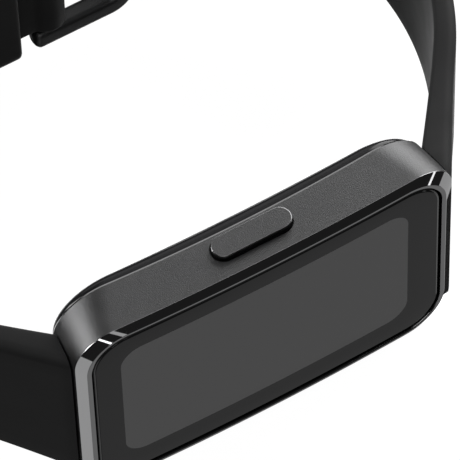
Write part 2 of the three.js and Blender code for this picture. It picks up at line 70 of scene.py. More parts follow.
# The case, in millimetres. Depths are behind the front lip.
FRONT_BOW = 0.0014  # the front curves back by this times x squared
GLASS_BOW = 0.0012
REAR_BOW = 0.0023
CHAMFER_LONG, CHAMFER_WIDE = 0.95, 0.8  # how far the polished band reaches in, at the ends and sides
CHAMFER_DEPTH = 0.55
LIP = 0.51  # the flat lip between the band and the glass
BAND_CORNER, CORNER = 4.6, 4.3  # corner radius at the band's inner edge and at the wall
REAR_CORNER = 5.9
RIM_DEPTH = 5.34  # where the metal wall ends in a small bright bevel
WALL_LEAN = 0.32  # the end walls lean in by this at the rear rim
BACK_DEPTH = 5.6
BACK_IN = 0.36  # how far the back cover starts inside the case's ends
WINDOW_HALF, WINDOW_CORNER = (7.5, 5.0), 3.2  # the opening for the sensor's window
SLOT_AT, SLOT_HALF = (21, 3.7), (1.15, 3, 8.25)  # the strap's slot in each end wall
LINK_CORE_AT, LINK_CORE_HALF = (20.4, 3.75), (0.9, 1.6, 8)

KEY_BACK = 0.25  # how far behind the CAD key the finished one sits
KEY_UP = 0.22  # how much prouder it stands
KEY_LONGER = 0.08  # and how much further each end reaches
KEY_EDGE = 0.09  # radius of its rounded edge
KEY_ROOM = 0.16  # gap between the key and its well
KEY_SHINE, RIM_SHINE = 0.45, 0.75  # how polished the key's edge and the rear rim are, from 0 to 1

GLASS_GAP = 0.21
GLASS_FRONT, GLASS_BACK = 0.14, 1.04
GLASS_CORNER = 3.9
SCREEN_LENGTH, SCREEN_WIDTH, SCREEN_CORNER = 32.5, 18.9, 2.4
SCREEN_SHIFT = (-0.42, 0.35)

# The strap's route: a start, a heading, a straight stretch and then arcs.
STRAP_START = (20.8, 3.5)
TAIL_HEADING, BUCKLE_HEADING = math.radians(55.2), math.radians(48)
HINGE_AT = 7.5
STRAIGHT = 15
BUCKLE_ARC = 21.5
TAIL_ARCS = [(20, 31), (58.2, 38)]
BUCKLE_STRAIGHT, TAIL_STRAIGHT = 17, 18
STRAP_HALF, TAIL_HALF, SHOULDER_HALF = 9.25, 8.7, 10.2
ROOT_THICKNESS, STRAP_THICKNESS = 3.25, 2.3
THIN_BY, SLIM_BY = 13, 12  # how far along the strap its extra thickness and width have gone
OUTER_ROUND, INNER_ROUND = 1.05, 0.42
CASE_GAP = 0.17
TIP_LENGTH, TIP_EDGE = 9, 0.9  # the tail's round tip, and the stretch in which it thins
HOLE_FIRST, HOLE_PITCH, HOLE_COUNT, HOLE_RADIUS = 47, 6.5, 9, 1.15

LATCH_AT = 4.6
LATCH_HALF = (1.15, 0.425, 4.3)
LATCH_PROUD = 0.1
POCKET_HALF = (1.4, 3.1, 4.6)
INNER_FACE = 1.5  # the strap's wrist side beside the latch

BUCKLE_HALF, BUCKLE_ARM, BUCKLE_END, BUCKLE_BAR, BUCKLE_THICKNESS = 12.2, 2.4, 10.2, 2, 2.2
KNOB_RADIUS, PIN_BORE = 2, 0.95  # the strap's loop for the buckle's pin
EYE_RADIUS, EYE_BORE = 1.6, 0.85  # the tongue's eye round the pin
TONGUE_RISE = 1.9
KEEPER_WALL = 1.2

METAL_BUMP = 1.3
AMBIENT, DIM = 0.1, 0.02  # the even light on matt and on glossy surfaces
CARD_DISTANCE = 0.6  # metres


# ---- Camera -------------------------------------------------------------------------------------

CAMERA_TURN = math.radians(-28.449)
CAMERA_HEIGHT = math.radians(57.338)
CAMERA_ROLL = math.radians(-2.0777)
CAMERA_DISTANCE = 542.92
CAMERA_SLIDE = (-4.2258, 10.5588)  # how far the view's middle lies right of and above the lip's middle
SENSOR, LENS = 36, 430.43


def add_camera():
    """A long lens that looks down on the side with the key."""
    turn, height, roll = CAMERA_TURN, CAMERA_HEIGHT, CAMERA_ROLL
    level = np.array([math.cos(turn), math.sin(turn), 0])
    back = np.array([math.sin(turn) * math.cos(height), -math.cos(turn) * math.cos(height), math.sin(height)])
    upright = np.cross(back, level)
    right = math.cos(roll) * level + math.sin(roll) * upright
    up = math.cos(roll) * upright - math.sin(roll) * level
    place = CAMERA_SLIDE[0] * right + CAMERA_SLIDE[1] * up + CAMERA_DISTANCE * back
    data = bpy.data.cameras.new("camera")
    data.sensor_width = SENSOR
    data.lens = LENS
    data.clip_start = 0.01
    camera = bpy.data.objects.new("camera", data)
    matrix = np.eye(4)
    matrix[:3, :3] = np.stack([right, up, back], 1)
    matrix[:3, 3] = to_frame(place)
    camera.matrix_world = matrix.T.tolist()
    bpy.context.scene.collection.objects.link(camera)
    bpy.context.scene.camera = camera


# ---- Mesh helpers -------------------------------------------------------------------------------

def to_frame(points):
    """Case terms in millimetres to the frame's metres."""
    return (np.asarray(points, float) + (0, FRONT, MIDDLE)) * MM


def volume_of(points, quads):
    """Six times the signed volume inside the quads, from the pyramids that they make with the origin."""
    a, b, c, d = (points[quads[:, i]] for i in range(4))
    return np.sum(a * (np.cross(b, c) + np.cross(c, d)))


def piece(name, grid, body, nodes=(), loop=False, sharp=40):
    """A closed mesh from a grid of points. Each row is a closed ring, and the last row joins the first
    if loop is set. Otherwise the first and last rows are closed by one face each."""
    grid = np.asarray(grid, float)
    rows, columns = grid.shape[:2]
    points = grid.reshape(-1, 3)
    index = np.arange(rows * columns).reshape(rows, columns)
    if loop:
        index = np.vstack([index, index[:1]])
    index = np.hstack([index, index[:, :1]])
    quads = np.stack([index[:-1, :-1], index[1:, :-1], index[1:, 1:], index[:-1, 1:]], -1).reshape(-1, 4)
    ends = [] if loop else [index[0, :columns], index[-1, :columns][::-1]]
    centre = points - points.mean(0)
    if volume_of(centre, quads) < 0:
        quads = quads[:, ::-1]
        ends = [end[::-1] for end in ends]
    mesh = bpy.data.meshes.new(name)
    mesh.from_pydata(to_frame(points), [], quads.tolist() + [end.tolist() for end in ends])
    return finish_piece(name, mesh, body, nodes, sharp)


def finish_piece(name, mesh, body, nodes=(), sharp=40):
    """Smooth shading with creases past an angle, and the piece's place among the frame's bodies."""
    mesh.validate()
    mesh.polygons.foreach_set("use_smooth", np.ones(len(mesh.polygons), bool))
    mesh.set_sharp_from_angle(angle=math.radians(sharp))
    thing = bpy.data.objects.new(name, mesh)
    bpy.context.scene.collection.objects.link(thing)
    if body:
        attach(thing, body)
    if nodes:
        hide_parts(*nodes)
    return thing


def carve(thing, *cutters):
    """Cuts the cutters out of the piece, then removes them."""
    for cutter in cutters:
        modifier = thing.modifiers.new("cut", "BOOLEAN")
        modifier.operation = "DIFFERENCE"
        modifier.solver = "EXACT"
        modifier.object = cutter
    bpy.context.view_layer.update()
    graph = bpy.context.evaluated_depsgraph_get()
    mesh = bpy.data.meshes.new_from_object(thing.evaluated_get(graph))
    mesh.name = thing.name
    thing.modifiers.clear()
    thing.data = mesh
    mesh.polygons.foreach_set("use_smooth", np.ones(len(mesh.polygons), bool))
    mesh.set_sharp_from_angle(angle=math.radians(40))
    for cutter in cutters:
        bpy.data.objects.remove(cutter)
    return thing


def outline(half_x, half_z, radius, arc=20, long=36, short=14):
    """A rounded rectangle in x and z as columns of points: four quarter circles, and straight sides
    divided evenly between them. It starts at the right end of the upper side."""
    radius = min(radius, half_x - 0.01, half_z - 0.01)
    turn = np.linspace(0, math.pi / 2, arc)
    x, z = half_x - radius, half_z - radius
    quarters = []
    for start, cx, cz in ((0, x, z), (1, -x, z), (2, -x, -z), (3, x, -z)):
        angle = turn + start * math.pi / 2
        quarters.append(np.stack([cx + radius * np.cos(angle), cz + radius * np.sin(angle)], 1))
    parts = []
    for i, quarter in enumerate(quarters):
        following = quarters[(i + 1) % 4][0]
        steps = long if i % 2 == 0 else short
        share = np.linspace(0, 1, steps + 2)[1:-1, None]
        parts += [quarter, quarter[-1] * (1 - share) + following * share]
    return np.vstack(parts)


def rings(levels):
    """Rings one behind the other. Each level is half length, half width, corner radius, depth and bow:
    a point's depth is the level's depth plus bow times x squared."""
    grid = []
    for half_x, half_z, radius, depth, bow in levels:
        x, z = outline(half_x, half_z, radius).T
        grid.append(np.stack([x, depth + bow * x * x, z], 1))
    return np.array(grid)


# ---- Shader groups and materials ----------------------------------------------------------------

def node_group(name, inputs, outputs):
    """An empty node group with float or colour sockets, and its input and output nodes."""
    group = bpy.data.node_groups.new(name, "ShaderNodeTree")
    for label, kind, value in inputs:
        socket = group.interface.new_socket(label, in_out="INPUT", socket_type=kind)
        socket.default_value = value
    for label, kind in outputs:
        group.interface.new_socket(label, in_out="OUTPUT", socket_type=kind)
    return group, group.nodes.new("NodeGroupInput"), group.nodes.new("NodeGroupOutput")


def spread(tree, source, low, high):
    """The middle of a noise stretched to run from low to high."""
    node = tree.nodes.new("ShaderNodeMapRange")
    node.inputs["From Min"].default_value = 0.3
    node.inputs["From Max"].default_value = 0.7
    tree.links.new(source, node.inputs["Value"])
    for label, value in (("To Min", low), ("To Max", high)):
        if isinstance(value, (int, float)):
            node.inputs[label].default_value = value
        else:
            tree.links.new(value, node.inputs[label])
    return node.outputs["Result"]


def math_node(tree, operation, a, b):
    """A Math node on two inputs, each a number or another node's output. Returns its output."""
    node = tree.nodes.new("ShaderNodeMath")
    node.operation = operation
    for socket, value in zip(node.inputs, (a, b)):
        if isinstance(value, (int, float)):
            socket.default_value = value
        else:
            tree.links.new(value, socket)
    return node.outputs["Value"]


def build_grain_group():
    """Fine surface grain: a height for Bump, and a slow change of roughness between two values."""
    group, inside, outside = node_group(
        "surface_grain",
        [("Grain Scale", "NodeSocketFloat", 9000.0), ("Patch Scale", "NodeSocketFloat", 300.0),
         ("Roughness Low", "NodeSocketFloat", 0.4), ("Roughness High", "NodeSocketFloat", 0.5)],
        [("Height", "NodeSocketFloat"), ("Roughness", "NodeSocketFloat"), ("Patch", "NodeSocketFloat")],
    )
    coordinates = group.nodes.new("ShaderNodeTexCoord").outputs["Object"]
    grain = group.nodes.new("ShaderNodeTexNoise")
    grain.inputs["Detail"].default_value = 3
    patch = group.nodes.new("ShaderNodeTexNoise")
    patch.inputs["Detail"].default_value = 4
    for node, label in ((grain, "Grain Scale"), (patch, "Patch Scale")):
        group.links.new(coordinates, node.inputs["Vector"])
        group.links.new(inside.outputs[label], node.inputs["Scale"])
    mixed = spread(group, patch.outputs["Fac"], inside.outputs["Roughness Low"],
                   inside.outputs["Roughness High"])
    group.links.new(grain.outputs["Fac"], outside.inputs["Height"])
    group.links.new(mixed, outside.inputs["Roughness"])
    group.links.new(patch.outputs["Fac"], outside.inputs["Patch"])
    return group


def new_material(name, **constants):
    """A material with its Principled shader's plain sockets set."""
    material = bpy.data.materials.new(name)
    material.use_nodes = True
    shader = material.node_tree.nodes["Principled BSDF"]
    for label, value in constants.items():
        shader.inputs[label.replace("_", " ")].default_value = value
    return material, material.node_tree, shader


def grained(name, color, dark, roughness, grain_scale, patch_scale, bump, **constants):
    """A finish with fine grain, cloudy roughness and a slight change of tone in patches."""
    material, tree, shader = new_material(name, **constants)
    grain = tree.nodes.new("ShaderNodeGroup")
    grain.node_tree = GRAIN
    grain.inputs["Grain Scale"].default_value = grain_scale
    grain.inputs["Patch Scale"].default_value = patch_scale
    grain.inputs["Roughness Low"].default_value = roughness[0]
    grain.inputs["Roughness High"].default_value = roughness[1]
    tone = tree.nodes.new("ShaderNodeMix")
    tone.data_type = "RGBA"
    tone.inputs["A"].default_value = (*dark, 1)
    tone.inputs["B"].default_value = (*color, 1)
    tree.links.new(grain.outputs["Patch"], tone.inputs["Factor"])
    tree.links.new(tone.outputs["Result"], shader.inputs["Base Color"])
    tree.links.new(grain.outputs["Roughness"], shader.inputs["Roughness"])
    height = tree.nodes.new("ShaderNodeBump")
    height.inputs["Strength"].default_value = bump
    height.inputs["Distance"].default_value = 0.00002
    tree.links.new(grain.outputs["Height"], height.inputs["Height"])
    tree.links.new(height.outputs["Normal"], shader.inputs["Normal"])
    return material


def case_metal():
    """Bead-blasted dark anodised metal that is mirror-polished where the piece's polish is 1."""
    material = grained("case_metal", (0.1, 0.1, 0.101), (0.088, 0.088, 0.089), (0.38, 0.44), 11000, 500,
                       METAL_BUMP, Metallic=1.0)
    tree = material.node_tree
    shader = tree.nodes["Principled BSDF"]
    polish = tree.nodes.new("ShaderNodeAttribute")
    polish.attribute_name = "polish"
    for label, shiny in (("Roughness", 0.03), ("Base Color", (0.45, 0.45, 0.455, 1))):
        matte = shader.inputs[label].links[0].from_socket
        mix = tree.nodes.new("ShaderNodeMix")
        if label == "Base Color":
            mix.data_type = "RGBA"
        tree.links.new(polish.outputs["Fac"], mix.inputs["Factor"])
        tree.links.new(matte, mix.inputs["A"])
        mix.inputs["B"].default_value = shiny
        tree.links.new(mix.outputs["Result"], shader.inputs[label])
    bump = tree.nodes["Bump"]
    strength = math_node(tree, "MULTIPLY_ADD", polish.outputs["Fac"], -METAL_BUMP)
    strength.node.inputs[2].default_value = METAL_BUMP
    tree.links.new(strength, bump.inputs["Strength"])
    return material


def screen_glass():
    """Near-black glass. The screen's picture area shows through it as a slightly lighter rounded
    rectangle: its mask is the distance from a rounded rectangle in x and z, cut off sharply."""
    material, tree, shader = new_material("screen_glass", Roughness=0.045, IOR=1.5, Coat_Weight=0.0)
    split = tree.nodes.new("ShaderNodeSeparateXYZ")
    coordinates = tree.nodes.new("ShaderNodeTexCoord").outputs["Object"]
    tree.links.new(coordinates, split.inputs["Vector"])
    over = []
    for axis, centre, size in (("X", SCREEN_SHIFT[0], SCREEN_LENGTH),
                               ("Z", SCREEN_SHIFT[1] + MIDDLE, SCREEN_WIDTH)):
        away = math_node(tree, "ABSOLUTE", math_node(tree, "SUBTRACT", split.outputs[axis], centre * MM), 0)
        past = math_node(tree, "SUBTRACT", away, (size / 2 - SCREEN_CORNER) * MM)
        over.append(math_node(tree, "MAXIMUM", past, 0))
    squares = [math_node(tree, "MULTIPLY", value, value) for value in over]
    distance = math_node(tree, "SQRT", math_node(tree, "ADD", *squares), 0)
    mask = tree.nodes.new("ShaderNodeMapRange")
    mask.interpolation_type = "SMOOTHSTEP"
    mask.inputs["From Min"].default_value = (SCREEN_CORNER + 0.03) * MM
    mask.inputs["From Max"].default_value = (SCREEN_CORNER - 0.03) * MM
    tree.links.new(distance, mask.inputs["Value"])
    colour = tree.nodes.new("ShaderNodeMix")
    colour.data_type = "RGBA"
    colour.inputs["A"].default_value = (0.012, 0.012, 0.0125, 1)
    colour.inputs["B"].default_value = (0.15, 0.15, 0.151, 1)
    tree.links.new(mask.outputs["Result"], colour.inputs["Factor"])
    tree.links.new(colour.outputs["Result"], shader.inputs["Base Color"])
    return material


GRAIN = build_grain_group()


def silicone():
    """Matt soft rubber with a little sheen at shallow angles."""
    return grained("strap_silicone", (0.0105, 0.0105, 0.0107), (0.0085, 0.0085, 0.0087), (0.6, 0.7),
                   7000, 260, 0.15, Sheen_Weight=0.1, Sheen_Roughness=0.4, Specular_IOR_Level=0.22)


def gloss_plastic():
    """Near-black moulded plastic, smooth but not mirror-like."""
    return grained("gloss_plastic", (0.012, 0.012, 0.013), (0.01, 0.01, 0.011), (0.15, 0.21),
                   3000, 220, 0.015, Coat_Weight=0.0, Specular_IOR_Level=0.25)


MATERIALS = {
    "case_metal": case_metal(),
    "display_glass": screen_glass(),
    "gloss_back": gloss_plastic(),
    "silicone": silicone(),
    "dark_plastic": grained("dark_plastic", (0.03, 0.03, 0.032), (0.024, 0.024, 0.026), (0.4, 0.5),
                            5000, 400, 0.15),
    "seal_rubber": grained("seal_rubber", (0.02, 0.02, 0.021), (0.014, 0.014, 0.015), (0.6, 0.75),
                           4000, 300, 0.2),
    "steel": grained("bright_steel", (0.5, 0.5, 0.51), (0.42, 0.42, 0.43), (0.2, 0.32),
                     8000, 600, 0.1, Metallic=1.0),
    "contact_gold": grained("contact_gold", (0.82, 0.6, 0.28), (0.74, 0.52, 0.22), (0.18, 0.28),
                            8000, 900, 0.08, Metallic=1.0),
    "circuit_board": grained("circuit_board", (0.02, 0.12, 0.06), (0.012, 0.08, 0.04), (0.3, 0.45),
                             3000, 700, 0.2, Coat_Weight=0.3),
    "chip_resin": grained("chip_resin", (0.02, 0.02, 0.022), (0.014, 0.014, 0.016), (0.45, 0.6),
                          9000, 900, 0.2),
    "battery_foil": grained("battery_foil", (0.55, 0.56, 0.58), (0.45, 0.46, 0.48), (0.3, 0.5),
                            1200, 300, 0.4, Metallic=0.8),
    "flex_film": grained("flex_film", (0.42, 0.2, 0.04), (0.34, 0.15, 0.03), (0.3, 0.45),
                         2500, 500, 0.1),
}
SLOT_OF = {entry["node"]: entry["material_slot"] for entry in frame["record"]["subparts"]}
for node, cad in frame["nodes"].items():
    cad.data.materials.clear()
    cad.data.materials.append(MATERIALS[SLOT_OF[node]])


def dress(thing, slot):
    """Gives a piece the finish of one material slot."""
    thing.data.materials.clear()
    thing.data.materials.append(MATERIALS[slot])
    return thing


# ---- Case ---------------------------------------------------------------------------------------

def points_of(thing):
    """The piece's points in the case's own terms: rows of x, depth and z in millimetres."""
    points = np.empty(len(thing.data.vertices) * 3)
    thing.data.vertices.foreach_get("co", points)
    return (points.reshape(-1, 3) / MM - (0, FRONT, MIDDLE)).T


def store_polish(thing, polish):
    """Keeps how polished each point is, from 0 to 1, for the case metal to read."""
    attribute = thing.data.attributes.new("polish", "FLOAT", "POINT")
    attribute.data.foreach_set("value", polish)


def band_polish(thing, bands):
    """A band's polish where a point's depth, less the band's bow times x squared, lies between the
    band's two depths, and 0 elsewhere."""
    x, depth, _ = points_of(thing)
    polish = np.zeros(len(x))
    for bow, low, high, value in bands:
        level = depth - bow * x * x
        polish[(level > low) & (level < high)] = value
    return polish


def wall_level(share):
    """The wall at a share of its depth: how far its ends lean in, its corner radius, its depth and its
    bow. The lean grows as a power of the share, and the rest is even."""
    depth = CHAMFER_DEPTH + (RIM_DEPTH - CHAMFER_DEPTH) * share
    bow = FRONT_BOW + (REAR_BOW - FRONT_BOW) * share
    return WALL_LEAN * share ** 1.4, CORNER + (REAR_CORNER - CORNER) * share, depth, bow


def add_case():
    """The case's section, carried round the outline: lip, polished band, wall, bright rim bevel, and
    back along the inside. Close rows beside an edge keep the faces next to it flat."""
    half_x, half_z = LENGTH / 2, WIDTH / 2
    edge = 0.035  # the width of the lip's tiny rounded edges
    ends, sides = CHAMFER_LONG, CHAMFER_WIDE
    lines = []

    def line(inset_x, inset_z, radius, depth, bow):
        lines.append((half_x - inset_x, half_z - inset_z, radius, depth, bow))

    for inset, depth in ((LIP, 0.9), (LIP, 0.05), (LIP - 0.015, 0.012), (LIP - edge, 0), (edge, 0)):
        line(ends + inset, sides + inset, 4.1 + 0.9 * (LIP - inset), depth, FRONT_BOW)
    for share in (0, 0.03, 0.97, 1):
        corner = BAND_CORNER + (CORNER - BAND_CORNER) * share
        line(ends * (1 - share), sides * (1 - share), corner, CHAMFER_DEPTH * share, FRONT_BOW)
    for share in (0.01, 0.03, 0.12, 0.25, 0.4, 0.55, 0.7, 0.85, 0.96, 0.99):
        inward, corner, depth, bow = wall_level(share)
        line(inward, 0, corner, depth, bow)
    for inward, depth in ((0, 0), (0.005, 0.012), (0.075, 0.185), (0.09, 0.19), (0.3, 0.19), (1.3, 0.19)):
        line(WALL_LEAN + inward, inward, REAR_CORNER, RIM_DEPTH + depth, REAR_BOW)
    # Forward again along the inside, in to the glass's seat, and out to the opening.
    line(1.9, 1.3, 5, 4.2, FRONT_BOW)
    line(2.1, 1.5, 5, 2.4, FRONT_BOW)
    line(2.6, 2.6, 3.6, 2.2, FRONT_BOW)
    line(2.6, 2.6, 3.6, 1.7, FRONT_BOW)
    line(ends + LIP, sides + LIP, 4.1, 1.5, FRONT_BOW)
    case = piece("case_shell", rings(lines), "case", ["case_frame"], loop=True, sharp=30)

    low, high = (np.array(corner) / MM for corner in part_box("side_key"))
    radius = (high[1] - low[1]) / 2 + KEY_ROOM
    centre = ((low[0] + high[0]) / 2, (low[1] + high[1]) / 2 - FRONT + KEY_BACK)
    half = (high[0] - low[0]) / 2 + KEY_LONGER + KEY_ROOM
    walls = stadium(half, radius, [(0, half_z - 0.9), (0, half_z + 0.5)], centre)
    well = piece("key_well", walls, None)
    slots = [block(np.array([side * SLOT_AT[0], SLOT_AT[1], 0]), np.array([0, 1.0, 0]), np.array([1.0, 0, 0]),
                   SLOT_HALF, 0.6) for side in (-1, 1)]
    carve(case, well, *slots)
    bands = [(FRONT_BOW, -0.01, CHAMFER_DEPTH + 0.01, 1),
             (REAR_BOW, RIM_DEPTH + 0.005, RIM_DEPTH + 0.187, RIM_SHINE)]
    store_polish(case, band_polish(case, bands))
    dress(case, "case_metal")


def stadium(half, radius, levels, centre, steps=28):
    """Rings of a flat oval, two half circles joined by straights, each level an inset and a height."""
    turn = np.linspace(-math.pi / 2, math.pi / 2, steps)
    grid = []
    for inset, height in levels:
        r = radius - inset
        straight = half - radius
        x = np.concatenate([straight + r * np.cos(turn), -straight - r * np.cos(turn)])
        depth = np.concatenate([r * np.sin(turn), -r * np.sin(turn)])
        grid.append(np.stack([centre[0] + x, centre[1] + depth, np.full(len(x), height)], 1))
    return np.array(grid)


def add_key():
    """The key's cap: a flat oval with a polished edge rounded by a quarter circle, on a stepped foot."""
    low, high = (np.array(corner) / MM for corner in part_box("side_key"))
    top = high[2] - MIDDLE - CASE_TRIM[2] + KEY_UP
    centre = ((low[0] + high[0]) / 2, (low[1] + high[1]) / 2 - FRONT + KEY_BACK)
    half, radius = (high[0] - low[0]) / 2 + KEY_LONGER, (high[1] - low[1]) / 2
    edge = KEY_EDGE
    turn = np.linspace(0, math.pi / 2, 7)
    levels = [(0.05, top - 1.1), (0, top - 1.06), (0, top - edge - 0.02)]
    levels += [(edge * (1 - math.cos(t)), top - edge * (1 - math.sin(t))) for t in turn]
    levels += [(edge + 0.03, top), (radius * 0.6, top), (radius * 0.97, top)]
    key = piece("key_cap", stadium(half, radius, levels, centre), "key", ["side_key"], sharp=60)
    x, depth, _ = points_of(key)
    past = np.maximum(np.abs(x - centre[0]) - (half - radius), 0)
    inset = radius - np.hypot(past, depth - centre[1])
    store_polish(key, KEY_SHINE * (inset < edge + 0.005))
    dress(key, "case_metal")


def add_glass():
    """The cover glass: a slab whose front edge is rounded by a quarter ellipse."""
    half_x = LENGTH / 2 - CHAMFER_LONG - LIP - GLASS_GAP
    half_z = WIDTH / 2 - CHAMFER_WIDE - LIP - GLASS_GAP
    radius = GLASS_CORNER
    edge, edge_depth = 0.35, 0.2
    turn = np.linspace(0, math.pi / 2, 8)

    def shrunk(shares, depth):
        return [(half_x * share, half_z * share, radius * share, depth, GLASS_BOW) for share in shares]

    levels = [(half_x * 0.02, half_z * 0.02, 0.02, GLASS_FRONT, GLASS_BOW)]
    levels += shrunk((0.3, 0.6, 0.85), GLASS_FRONT)
    for t in turn:
        inset = edge * (1 - math.sin(t))
        depth = GLASS_FRONT + edge_depth * (1 - math.cos(t))
        levels.append((half_x - inset, half_z - inset, radius - inset, depth, GLASS_BOW))
    levels += [*shrunk((1,), 0.4), *shrunk((1,), 1.0), *shrunk((0.98, 0.5, 0.02), GLASS_BACK)]
    glass = piece("glass", rings(levels), "case", ["cover_glass"], sharp=50)
    dress(glass, "display_glass")


def back_levels():
    """The back cover's section from its rim to its flat face: the inset grows as a power of the share
    of the depth, and the bow fades out smoothly."""
    share = np.linspace(0, 1, 30) ** 1.25
    inset = 0.3 + 8.5 * share ** 2.35
    depth = BACK_DEPTH + (DEPTH - BACK_DEPTH) * share
    return inset, depth, REAR_BOW * (1 - smooth(share, 0, 1))


def add_back():
    """The back cover: a dome over the case's outline that flattens into the sensor face, made as one
    closed section, outside and inside, with the sensor's window cut through its middle."""
    inset, depth, bow = back_levels()
    half_x, half_z = LENGTH / 2 - BACK_IN, WIDTH / 2 - 0.1
    lines = [(half_x - 1.1, half_z - 1.1, 5, BACK_DEPTH + 0.2, REAR_BOW),
             (half_x - 0.3, half_z - 0.3, 5.7, BACK_DEPTH - 0.06, REAR_BOW)]
    for i, d, b in zip(inset, depth, bow):
        lines.append((half_x - i, half_z - i, min(5.8, (half_z - i) * 0.98), d, b))
    window_x, window_z = WINDOW_HALF
    lines += [(window_x + 1.2, window_z + 0.4, WINDOW_CORNER + 0.4, DEPTH, 0),
              (window_x + 0.05, window_z + 0.05, WINDOW_CORNER, DEPTH, 0)]
    lines += [(window_x, window_z, WINDOW_CORNER, DEPTH - deep, 0) for deep in (0.05, 0.9)]
    wall, floor = 0.9, 0.8  # the shell's thickness at its sides and its back
    for i, d, b in zip(inset[::-3], depth[::-3], bow[::-3]):
        x, z = half_x - i - wall, half_z - i - wall
        lines.append((x, z, min(4.8, z * 0.98), d - floor, b))
    back = piece("back_shell", rings(lines), "case", ["back_cover"], loop=True, sharp=40)
    dress(back, "gloss_back")

    gap = 0.2
    edge = [(DEPTH - 0.12, 0), (DEPTH - 0.05, 0.03), (DEPTH - 0.01, 0.12), (DEPTH, 0.3)]
    lines = [(window_x - gap - i, window_z - gap - i, WINDOW_CORNER - gap - i, d, 0)
             for d, i in [(8.9, 0.05), (8.95, 0), *edge]]
    lines += [(3, 2, 1, DEPTH, 0), (0.1, 0.1, 0.05, DEPTH, 0)]
    window = piece("sensor_glass", rings(lines), "case", ["sensor_window"], sharp=50)
    dress(window, "gloss_back")


# ---- Strap --------------------------------------------------------------------------------------

def route(pieces, side, distance):
    """Places along a strap half: the point, the direction of travel and the outward direction. The
    route is a chain of straights and arcs, and an arc of radius r turns by its length over r. side is
    1 for the tail strap and -1 for the buckle strap, whose x is mirrored."""
    distance = np.asarray(distance, float)
    x, y, start = *STRAP_START, 0.0
    heading = TAIL_HEADING if side > 0 else BUCKLE_HEADING
    place = np.zeros((len(distance), 2))
    angle = np.zeros(len(distance))
    for i, (length, radius) in enumerate(pieces):
        last = i == len(pieces) - 1
        begun = distance >= start if i else np.ones(len(distance), bool)
        here = begun & ((distance < start + length) | last)
        for mask, step in ((here, distance[here] - start), (None, np.array([length]))):
            if radius:
                turned = heading + step / radius
                px = x + radius * (np.sin(turned) - math.sin(heading))
                py = y - radius * (np.cos(turned) - math.cos(heading))
            else:
                turned = np.full(len(step), heading)
                px, py = x + step * math.cos(heading), y + step * math.sin(heading)
            if mask is not None:
                place[mask] = np.stack([px, py], 1)
                angle[mask] = turned
        x, y, heading, start = px[0], py[0], turned[0], start + length
    point = np.stack([side * place[:, 0], place[:, 1], np.zeros(len(distance))], 1)
    along = np.stack([side * np.cos(angle), np.sin(angle), np.zeros(len(distance))], 1)
    out = np.stack([side * np.sin(angle), -np.cos(angle), np.zeros(len(distance))], 1)
    return point, along, out


FULL_TURN = math.pi - BUCKLE_HEADING
BUCKLE_PIECES = [(STRAIGHT, 0), (BUCKLE_ARC * FULL_TURN, BUCKLE_ARC), (BUCKLE_STRAIGHT, 0)]
TAIL_PIECES = [(STRAIGHT, 0), *TAIL_ARCS, (TAIL_STRAIGHT, 0)]
BUCKLE_LENGTH = sum(length for length, _ in BUCKLE_PIECES)
TAIL_LENGTH = sum(length for length, _ in TAIL_PIECES)
PIN_LOW, PIN_HIGH = (np.array(corner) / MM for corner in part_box("buckle_pin"))
PIN = (PIN_LOW + PIN_HIGH) / 2 - (0, FRONT, MIDDLE)


def smooth(value, low, high):
    """0 up to low, 1 from high on, and between them three times t squared less twice t cubed."""
    t = np.clip((value - low) / (high - low), 0, 1)
    return t * t * (3 - 2 * t)


def strap_section(half_thickness, half_width, outer_round, inner_round, arc=7, flat=8):
    """A strap's cross-section: a rectangle with quarter-round corners, one radius on the side away
    from the wrist and one on the wrist side. Returns out and across, one row for each place."""
    limit = 0.96 * np.minimum(half_thickness, half_width)
    big, small = (np.minimum(radius, limit)[:, None] for radius in (outer_round, inner_round))
    half, width = half_thickness[:, None], half_width[:, None]
    turn = np.linspace(0, math.pi / 2, arc)
    c, s = np.cos(turn), np.sin(turn)
    share = np.linspace(-1, 1, flat + 2)[1:-1]
    out = [half + 0 * share, half - big + big * c, big * 0 - half + small - small * s,
           -half + 0 * share, -half + small - small * c, half - big + big * s]
    across = [(width - big) * share, width - big + big * s, width - small + small * c,
              -(width - small) * share, small - width - small * s, big - width - big * c]
    return np.hstack(out), np.hstack(across)


def sweep(pieces, side, distance, half_thickness, half_width):
    """The strap's section carried along its route."""
    point, _, out = route(pieces, side, distance)
    offset, across = strap_section(half_thickness, half_width, OUTER_ROUND, INNER_ROUND)
    grid = point[:, None] + out[:, None] * offset[..., None]
    grid[..., 2] += across
    return grid


def strap_size(distance, length):
    """Half thickness and half width along a strap: both are greatest at the case, and they ease off
    as a power of the share of the way that is left."""
    thick_left = 1 - np.clip(distance / THIN_BY, 0, 1)
    wide_left = 1 - np.clip(distance / SLIM_BY, 0, 1)
    thickness = STRAP_THICKNESS + (ROOT_THICKNESS - STRAP_THICKNESS) * thick_left ** 1.3
    half = STRAP_HALF + (SHOULDER_HALF - STRAP_HALF) * wide_left ** 1.4
    return thickness / 2, half + (TAIL_HALF - STRAP_HALF) * smooth(distance, 10, length - 20)


def add_strap(name, pieces, side, distance, half_thickness, half_width, nodes, cutters):
    """A strap half in one piece, from just short of the case to its free end, with a pocket on the
    wrist side near the case for its latch button."""
    strap = piece(name, sweep(pieces, side, distance, half_thickness, half_width), None, nodes)
    point, along, out = (value[0] for value in route(pieces, side, [LATCH_AT]))
    pocket = block(point, along, out, POCKET_HALF, 0.5, offset=-POCKET_HALF[1])
    return carve(strap, case_envelope(CASE_GAP), pocket, *cutters)


